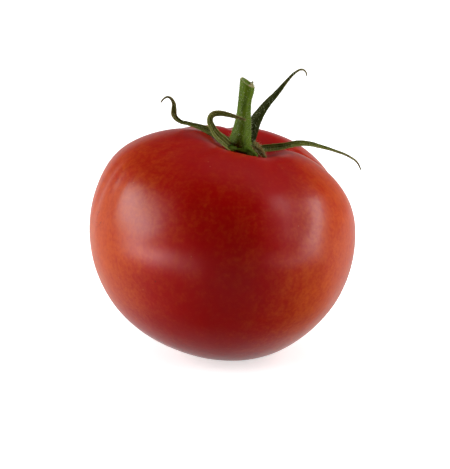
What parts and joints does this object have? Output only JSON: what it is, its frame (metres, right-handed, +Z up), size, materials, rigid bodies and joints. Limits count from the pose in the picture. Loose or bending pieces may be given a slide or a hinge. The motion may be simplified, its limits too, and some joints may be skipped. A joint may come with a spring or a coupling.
{
  "type": "tomato",
  "caption": "Ripe round red tomato, softly lobed, leaning on a small flat spot, with a green calyx of dried curling sepals and a short cut stub of stem.",
  "frame": {"origin": "middle of the small flat spot that the tomato stands on, on the surface under it", "axes": "+Z up, -Y towards the side that shows best, +X to that side's right, the way the tomato leans"},
  "size_m": [0.0768, 0.0751, 0.0793],
  "materials": {
    "skin": "gloss",
    "stem_green": "matte",
    "sepal_green": "matte"
  },
  "bodies": {
    "root": {"fruit": "skin", "calyx_disc": "stem_green", "stem": "stem_green", "sepal_right": "sepal_green", "sepal_back_right": "sepal_green", "sepal_left": "sepal_green", "sepal_front_left": "sepal_green", "sepal_front_right": "sepal_green"}
  },
  "joints": []
}
